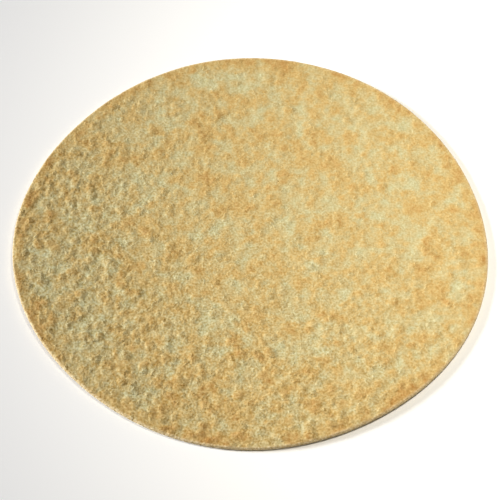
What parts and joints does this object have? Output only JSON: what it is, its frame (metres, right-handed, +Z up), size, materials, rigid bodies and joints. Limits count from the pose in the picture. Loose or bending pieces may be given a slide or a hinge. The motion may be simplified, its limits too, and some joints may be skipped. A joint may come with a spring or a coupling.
{
  "type": "khakhra flatbread",
  "caption": "Khakhra, a thin crisp round flatbread, roasted on both faces, with a slightly uneven cut rim and a low blistered surface, lying flat.",
  "frame": {"origin": "middle of the round outline, on the surface that the khakhra lies on", "axes": "+Z up through the thin way of the disc; +X to the right and -Y towards the viewer as pictured"},
  "size_m": [0.1808, 0.1808, 0.0027],
  "materials": {
    "roasted_dough": "matt, dry roasted wheat dough, pale cream with golden toasted spots"
  },
  "bodies": {
    "root": {"khakhra": "roasted_dough"}
  },
  "joints": []
}
